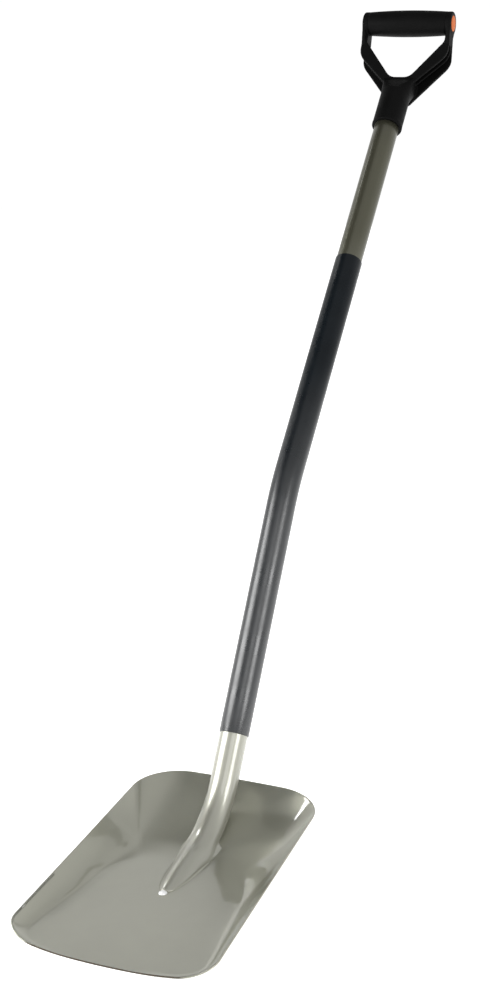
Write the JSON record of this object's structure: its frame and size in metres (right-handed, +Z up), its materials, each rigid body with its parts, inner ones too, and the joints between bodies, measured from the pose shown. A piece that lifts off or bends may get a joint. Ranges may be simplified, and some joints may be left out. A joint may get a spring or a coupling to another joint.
{
  "type": "shovel",
  "caption": "Scoop shovel with a pressed steel blade, a bent tubular steel shaft with a plastic sleeve and a moulded D-handle with a soft grip",
  "frame": {"origin": "middle of the flat floor of the blade, on its underside, 120 mm behind the middle of the cutting edge", "axes": "+X to the right across the blade, +Y from the cutting edge towards the handle, +Z up from the ground the blade lies on"},
  "size_m": [0.2182, 0.9507, 0.8638],
  "materials": {
    "blade_steel": "satin",
    "shaft_steel": "satin",
    "sleeve_plastic": "satin",
    "handle_plastic": "matte",
    "grip_rubber": "matte",
    "plug_plastic": "matte",
    "weld_metal": "satin",
    "screw_steel": "polished"
  },
  "bodies": {
    "root": {"blade": "blade_steel", "shaft_tube": "shaft_steel", "shaft_sleeve": "sleeve_plastic", "weld_left": "weld_metal", "weld_right": "weld_metal", "weld_tip": "weld_metal", "handle_frame": "handle_plastic", "grip_sleeve": "grip_rubber", "end_plug_left": "plug_plastic", "end_plug_right": "plug_plastic", "handle_screw": "screw_steel"}
  },
  "joints": []
}
